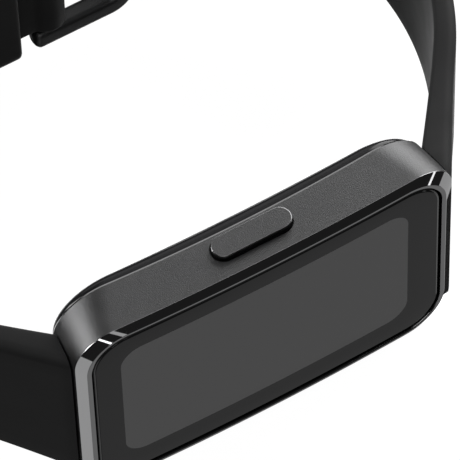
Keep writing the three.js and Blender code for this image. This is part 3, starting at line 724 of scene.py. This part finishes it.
def case_envelope(gap):
    """A closed body that stands a gap proud of the case's walls and back, to part the strap from it."""
    half_x, half_z = LENGTH / 2 + gap, WIDTH / 2 + gap
    lines = [(half_x, half_z, CORNER + gap, -3, FRONT_BOW)]
    for share in np.linspace(0, 1, 12):
        inward, corner, depth, bow = wall_level(share)
        lines.append((half_x - inward, half_z, corner + gap, depth, bow))
    for i, d, b in zip(*back_levels()):
        lines.append((half_x - BACK_IN - i, half_z - 0.1 - i, min(6, (half_z - i) * 0.98), d + gap, b))
    return piece("case_envelope", rings(lines), None)


def block(point, along, out, half, corner, offset=0.0, steps=6):
    """A block with rounded upright corners. half gives its half sizes along, outward and across."""
    turn = np.linspace(0, math.pi / 2, steps)
    x, z = half[0] - corner, half[2] - corner
    quarters = ((0, 1, 1), (0.5 * math.pi, -1, 1), (math.pi, -1, -1), (1.5 * math.pi, 1, -1))
    arcs = [(sx * x + corner * np.cos(turn + start), sz * z + corner * np.sin(turn + start))
            for start, sx, sz in quarters]
    ring = np.vstack([np.stack(arc, 1) for arc in arcs])
    across = np.array([0, 0, 1.0])
    plan = point + along * ring[:, :1] + across * ring[:, 1:]
    return piece("block", [plan + out * (offset + half[1]), plan + out * (offset - half[1])], None)


def bend(strap, pieces, side):
    """Bakes the strap's placement into its mesh. The strap is not bent at the joint; the direction at the
    joint is worked out but not used.
    """
    along = route(pieces, side, [HINGE_AT])[1][0] * MM
    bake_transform(strap)


def cylinder(centre, axis, radius, half, sides=48):
    """A plain round body about an axis, for cutting: two rings of points."""
    axis = np.asarray(axis, float)
    across = np.cross(axis, (0.3, 0.2, 1.0) if abs(axis[2]) < 0.9 else (1.0, 0, 0))
    across /= np.linalg.norm(across)
    other = np.cross(axis, across)
    turn = np.linspace(0, 2 * math.pi, sides, endpoint=False)[:, None]
    ring = radius * (across * np.cos(turn) + other * np.sin(turn))
    return piece("round_cutter", [centre + ring - axis * half, centre + ring + axis * half], None)


def add_tail():
    """The long half, with a row of holes and a half-round tip that thins to its edge."""
    near = np.concatenate([np.linspace(-2, 16, 50), np.linspace(16, TAIL_LENGTH - TIP_LENGTH, 150)[1:]])
    tip = TAIL_LENGTH - TIP_LENGTH * (1 - np.sin(np.linspace(0, math.pi / 2, 26)[1:]))
    distance = np.concatenate([near, tip])
    half_thickness, half_width = strap_size(distance, TAIL_LENGTH)
    left = np.clip((TAIL_LENGTH - distance) / TIP_LENGTH, 0, 1)
    half_width = 0.3 + (half_width - 0.3) * np.sqrt(1 - (1 - left) ** 2)
    edge = np.clip((TAIL_LENGTH - distance) / TIP_EDGE, 0, 1)
    half_thickness = half_thickness * (0.3 + 0.7 * np.sqrt(1 - (1 - edge) ** 2))
    places = route(TAIL_PIECES, 1, HOLE_FIRST + HOLE_PITCH * np.arange(HOLE_COUNT))
    holes = [cylinder(point, out, HOLE_RADIUS, 4) for point, _, out in zip(*places)]
    strap = add_strap("tail_band_silicone", TAIL_PIECES, 1, distance, half_thickness, half_width,
                      ["tail_strap", "strap_link_6"], holes)
    dress(strap, "silicone")
    bend(strap, TAIL_PIECES, 1)


def add_buckle_strap():
    """The short half, whose end swells into a round loop for the buckle's pin, notched for the tongue."""
    body = np.concatenate([np.linspace(-2, 16, 50), np.linspace(16, BUCKLE_LENGTH - 4, 110)[1:]])
    round_knob = -0.99 * KNOB_RADIUS * np.cos(np.linspace(0, math.pi, 26))
    end = BUCKLE_LENGTH + np.concatenate([np.linspace(-4, -KNOB_RADIUS, 8)[1:], round_knob])
    distance = np.concatenate([body, end])
    half_thickness, half_width = strap_size(distance, BUCKLE_LENGTH)
    knob = np.sqrt(np.maximum(KNOB_RADIUS ** 2 - (distance - BUCKLE_LENGTH) ** 2, 0))
    swell = np.log(np.exp(6 * half_thickness) + np.exp(6 * knob)) / 6
    half_thickness = np.where(distance > BUCKLE_LENGTH, np.maximum(knob, 0.28),
                              half_thickness + (np.maximum(swell, knob) - half_thickness)
                              * smooth(distance, BUCKLE_LENGTH - 4, BUCKLE_LENGTH - 1.4))
    bore = cylinder(PIN, (0, 0, 1.0), PIN_BORE, 20)
    notch = block(PIN + (0.6, 0, 0), np.array([1.0, 0, 0]), np.array([0, 1.0, 0]), (4, 5, 1.9), 0.9)
    strap = add_strap("buckle_band_silicone", BUCKLE_PIECES, -1, distance, half_thickness, half_width,
                      ["buckle_strap", "strap_link_12"], [bore, notch])
    dress(strap, "silicone")
    bend(strap, BUCKLE_PIECES, -1)


def add_link_tongue(number, side):
    """The stiff core that joins a strap to the slot in the case's end wall."""
    centre = np.array([side * LINK_CORE_AT[0], LINK_CORE_AT[1], 0])
    core = block(centre, np.array([0, 1.0, 0]), np.array([1.0, 0, 0]), LINK_CORE_HALF, 0.6)
    core.name = f"link_core_{number}"
    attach(core, "case")
    dress(core, "dark_plastic")


def soft_block(name, point, along, out, half, corner, edge, body, slot, nodes):
    """A block whose upright corners and both rims are rounded: its rings follow a quarter circle in
    at each end."""
    turn = np.linspace(0, math.pi / 2, 6)
    inward, short = edge * (1 - np.cos(turn)), edge * (1 - np.sin(turn))
    insets = np.concatenate([[edge * 3], inward[::-1], inward, [edge * 3]])
    heights = np.concatenate([[-half[1]], -half[1] + short[::-1], half[1] - short, [half[1]]])
    grid = []
    for inset, height in zip(insets, heights):
        plan = outline(half[0] - inset, half[2] - inset, max(corner - inset, 0.05), 8, 4, 12)
        grid.append(point + along * plan[:, :1] + np.array([0, 0, 1.0]) * plan[:, 1:] + out * height)
    thing = piece(name, grid, body, nodes, sharp=50)
    return dress(thing, slot)


def add_latch_button(number, pieces, side):
    """The quick-release button in its pocket, a hair proud of the strap's wrist side."""
    point, along, out = (value[0] for value in route(pieces, side, [LATCH_AT]))
    middle = point + out * (-INNER_FACE - LATCH_PROUD + LATCH_HALF[1])
    soft_block(f"latch_button_cap_{number}", middle, along, out, LATCH_HALF, 0.5, 0.12,
               f"latch_{number}", "steel", [f"latch_button_{number}"])


# ---- Buckle and keepers -------------------------------------------------------------------------

def u_outline(reach, half, start, corner, steps=12, along=16):
    """Half of a U is straight, quarter round, straight; the other half mirrors it in z."""
    turn = np.linspace(0, math.pi / 2, steps)
    curve = reach - corner + corner * np.sin(turn)
    x = np.concatenate([np.linspace(start, reach - corner, along)[:-1], curve])
    z = np.concatenate([np.full(along - 1, half), half - corner + corner * np.cos(turn)])
    bar = np.linspace(half - corner, 0, along)[1:]
    x, z = np.concatenate([x, np.full(along - 1, reach)]), np.concatenate([z, bar])
    return np.concatenate([x, x[-2::-1]]), np.concatenate([z, -z[-2::-1]])


def add_buckle():
    """The metal loop: a rounded bar between an outer and an inner U, closed round at the arms' ends."""
    outer = u_outline(BUCKLE_END, BUCKLE_HALF, -1.2, 3.0)
    inner = u_outline(BUCKLE_END - BUCKLE_BAR, BUCKLE_HALF - BUCKLE_ARM, -1.2, 1.2)
    (x0, z0), (x1, z1) = outer, inner
    middle = np.stack([(x0 + x1) / 2, np.zeros(len(x0)), (z0 + z1) / 2], 1)
    across = np.stack([(x0 - x1) / 2, np.zeros(len(x0)), (z0 - z1) / 2], 1)
    width = np.linalg.norm(across, axis=1)
    across /= width[:, None]
    turn = np.linspace(0, math.pi / 2, 9)[1:]

    def end_row(i, t):
        """A smaller section a little way back from an end. They follow a quarter circle."""
        share = 0.35 + 0.65 * math.cos(t)
        return middle[i] - (0.75 * math.sin(t), 0, 0), across[i], width[i] * share, share

    rows = [end_row(0, t) for t in turn[::-1]]
    rows += [(m, a, w, 1.0) for m, a, w in zip(middle, across, width)]
    rows += [end_row(-1, t) for t in turn]
    points, sides, widths, shares = (np.array(value) for value in zip(*rows))
    thick = BUCKLE_THICKNESS / 2 * shares
    rounding = np.full(len(widths), 0.62)
    out, over = strap_section(widths, thick, rounding, rounding, 6, 2)
    grid = PIN + points[:, None] + sides[:, None] * out[..., None]
    grid[..., 1] += over
    dress(piece("buckle_loop", grid, "buckle", ["buckle_frame"], sharp=60), "case_metal")


def add_buckle_bar():
    """The bar that the buckle turns on: a round rod whose ends are rounded by a quarter ellipse."""
    turn = np.linspace(0, math.pi / 2, 5)
    half = BUCKLE_HALF - 0.7
    grow, short = 0.4 + 0.35 * np.sin(turn), 0.3 * (1 - np.cos(turn))
    radius = np.concatenate([[0.3], grow, grow[::-1], [0.3]])[:, None]
    place = np.concatenate([[-half], -half + short, half - short[::-1], [half]])
    angle = np.linspace(0, 2 * math.pi, 32, endpoint=False)
    grid = np.stack([radius * np.cos(angle), radius * np.sin(angle), place[:, None] + 0 * angle], -1)
    dress(piece("buckle_bar", PIN + grid, "buckle", ["buckle_pin"], sharp=60), "steel")


def add_tongue():
    """The tongue: an eye round the pin that runs out into a flat tapering tang over the far bar."""
    reach = BUCKLE_END + 0.4
    s = np.concatenate([-1.58 * np.cos(np.linspace(0, math.pi / 2, 14)), np.linspace(0, reach, 60)[1:]])
    eye = np.sqrt(np.maximum(EYE_RADIUS ** 2 - s ** 2, 0.0))
    bar = 0.5 - 0.12 * smooth(s, reach - 3, reach)
    half = np.where(s < 0, np.maximum(eye, 0.2), np.maximum(eye, bar))
    width = 1.5 - 0.4 * smooth(s, 0.8, 2.4) - 0.2 * smooth(s, reach - 4, reach)
    tip = np.clip((reach - s) / 0.9, 0, 1)
    width = width * (0.35 + 0.65 * np.sqrt(1 - (1 - tip) ** 2))
    half = half * (0.45 + 0.55 * np.sqrt(1 - (1 - tip) ** 2))
    rounding = np.full(len(s), 0.32)
    out, across = strap_section(half, width, rounding, rounding, 5, 3)
    lift = TONGUE_RISE * smooth(s, 0.1, 3.2) * smooth(s, 0, 3.2)
    grid = np.stack([s[:, None] + 0 * out, lift[:, None] + out, across], -1)
    tongue = piece("buckle_tang", PIN + grid, "tongue", ["buckle_tongue"], sharp=60)
    carve(tongue, cylinder(PIN, (0, 0, 1.0), EYE_BORE, 5))
    dress(tongue, "case_metal")


def add_keeper(name, node, body):
    """A soft rectangular loop: a flat section with round edges, carried round a rounded rectangle."""
    low, high = (np.array(corner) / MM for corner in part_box(node))
    centre = (low + high) / 2 - (0, FRONT, MIDDLE)
    half = (high - low) / 2
    wall = KEEPER_WALL
    around = outline(half[1] - wall / 2, half[2] - wall / 2, 1.7, 12, 10, 34)
    inward = np.roll(around, -1, 0) - np.roll(around, 1, 0)
    inward = np.stack([inward[:, 1], -inward[:, 0]], 1) / np.linalg.norm(inward, axis=1)[:, None]
    size = np.full(1, wall / 2), np.full(1, half[0])
    out, across = strap_section(*size, np.full(1, 0.5), np.full(1, 0.35), 6, 6)
    grid = np.empty((len(around), out.shape[1], 3))
    grid[..., 0] = centre[0] + across
    grid[..., 1] = centre[1] + around[:, :1] + inward[:, :1] * out
    grid[..., 2] = centre[2] + around[:, 1:] + inward[:, 1:] * out
    dress(piece(name, grid, body, [node], loop=True, sharp=60), "silicone")


# ---- Stage --------------------------------------------------------------------------------------

def add_floor():
    """A pale floor that lights nothing and hides no light, so that only the soft lights shape the piece."""
    size = 3.0
    mesh = bpy.data.meshes.new("floor")
    corners = [(-size, -size, 0), (size, -size, 0), (size, size, 0), (-size, size, 0)]
    mesh.from_pydata(corners, [], [(0, 1, 2, 3)])
    floor = bpy.data.objects.new("floor", mesh)
    bpy.context.scene.collection.objects.link(floor)
    material, _, _ = new_material("pale_floor", Roughness=0.9, Base_Color=(0.1, 0.1, 0.1, 1),
                                  Emission_Color=(1, 1, 1, 1), Emission_Strength=0.97)
    floor.data.materials.append(material)
    floor.visible_glossy = False
    floor.visible_diffuse = False
    floor.visible_shadow = False


def add_card(name, direction, wide, tall, radiance):
    """A flat soft light far out in a direction. wide and tall are the angles that it fills, in degrees,
    and its power is radiance times pi times its area."""
    direction = np.array(direction, float) / np.linalg.norm(direction)
    data = bpy.data.lights.new(name, "AREA")
    data.shape = "RECTANGLE"
    data.size = 2 * CARD_DISTANCE * math.tan(math.radians(wide) / 2)
    data.size_y = 2 * CARD_DISTANCE * math.tan(math.radians(tall) / 2)
    data.energy = radiance * math.pi * data.size * data.size_y
    light = bpy.data.objects.new(name, data)
    place = direction * CARD_DISTANCE
    light.rotation_euler = Vector(direction).to_track_quat("Z", "Y").to_euler()
    light.location = place + (0, 0, WIDTH * MM / 2)
    light.visible_camera = False
    bpy.context.scene.collection.objects.link(light)


def add_world():
    """A low even light all round, and white to the camera."""
    world = bpy.data.worlds.new("studio")
    world.use_nodes = True
    tree = world.node_tree
    background = tree.nodes["Background"]
    background.inputs["Color"].default_value = (1, 1, 1, 1)
    path = tree.nodes.new("ShaderNodeLightPath")
    strength = tree.nodes.new("ShaderNodeMix")
    strength.inputs["A"].default_value = AMBIENT
    strength.inputs["B"].default_value = 1.0
    tree.links.new(path.outputs["Is Camera Ray"], strength.inputs["Factor"])
    glossy = tree.nodes.new("ShaderNodeMix")
    glossy.inputs["A"].default_value = AMBIENT
    glossy.inputs["B"].default_value = DIM
    tree.links.new(path.outputs["Is Glossy Ray"], glossy.inputs["Factor"])
    tree.links.new(glossy.outputs["Result"], strength.inputs["A"])
    tree.links.new(strength.outputs["Result"], background.inputs["Strength"])
    bpy.context.scene.world = world


# Each soft light's name, direction, degrees wide and tall, and radiance, with what it mainly lights.
CARDS = [
    ("sky", (0.4, 0.47, 0.76), 52, 56, 0.56),  # the upper wall and the key's top
    ("left_card", (-0.71, 0.6, 0.37), 12, 32, 17.0),  # the bright streak on the left corner
    ("right_card", (0.86, 0.47, 0.36), 60, 50, 3.9),  # the wall's right half
    ("under", (0.26, -0.45, -0.85), 34, 24, 0.22),  # the glass
    ("under_left", (-0.41, -0.61, -0.66), 21, 38, 0.55),  # the band at the left end
    ("under_right", (0.75, -0.24, -0.62), 28, 40, 0.5),  # the band at the right end
    ("line_patch", (0.075, -0.99, 0.09), 4.6, 16, 0.6),  # a soft patch on the left corner's band
    ("line_left", (-0.125, -0.967, -0.21), 1.4, 16, 3.4),  # a thin bright line beside it
    ("line_right", (0.64, -0.68, -0.37), 2.0, 14, 2.0),  # and one on the right corner's
    ("rim_high", (0.2, 0.93, 0.25), 50, 22, 0.6),  # the rear rim
    ("behind", (0.15, 0.8, -0.56), 50, 40, 0.9),  # the back cover's edge
    ("rim_right", (0.35, 0.41, -0.84), 34, 34, 2.4),  # the right strap's outer side
    ("front_fill", (-0.45, -0.65, 0.62), 50, 50, 0.95),  # the left strap
]

add_camera()
add_case()
add_key()
add_glass()
add_back()
add_tail()
add_buckle_strap()
for number, pieces, side in (("12", BUCKLE_PIECES, -1), ("6", TAIL_PIECES, 1)):
    add_link_tongue(number, side)
    add_latch_button(number, pieces, side)
add_buckle()
add_buckle_bar()
add_tongue()
add_keeper("keeper_loop_fixed", "keeper_fixed", "buckle_band")
add_keeper("keeper_loop_free", "keeper_free", "keeper")
add_floor()
add_world()
for card in CARDS:
    add_card(*card)
bpy.context.scene.view_settings.view_transform = "Standard"
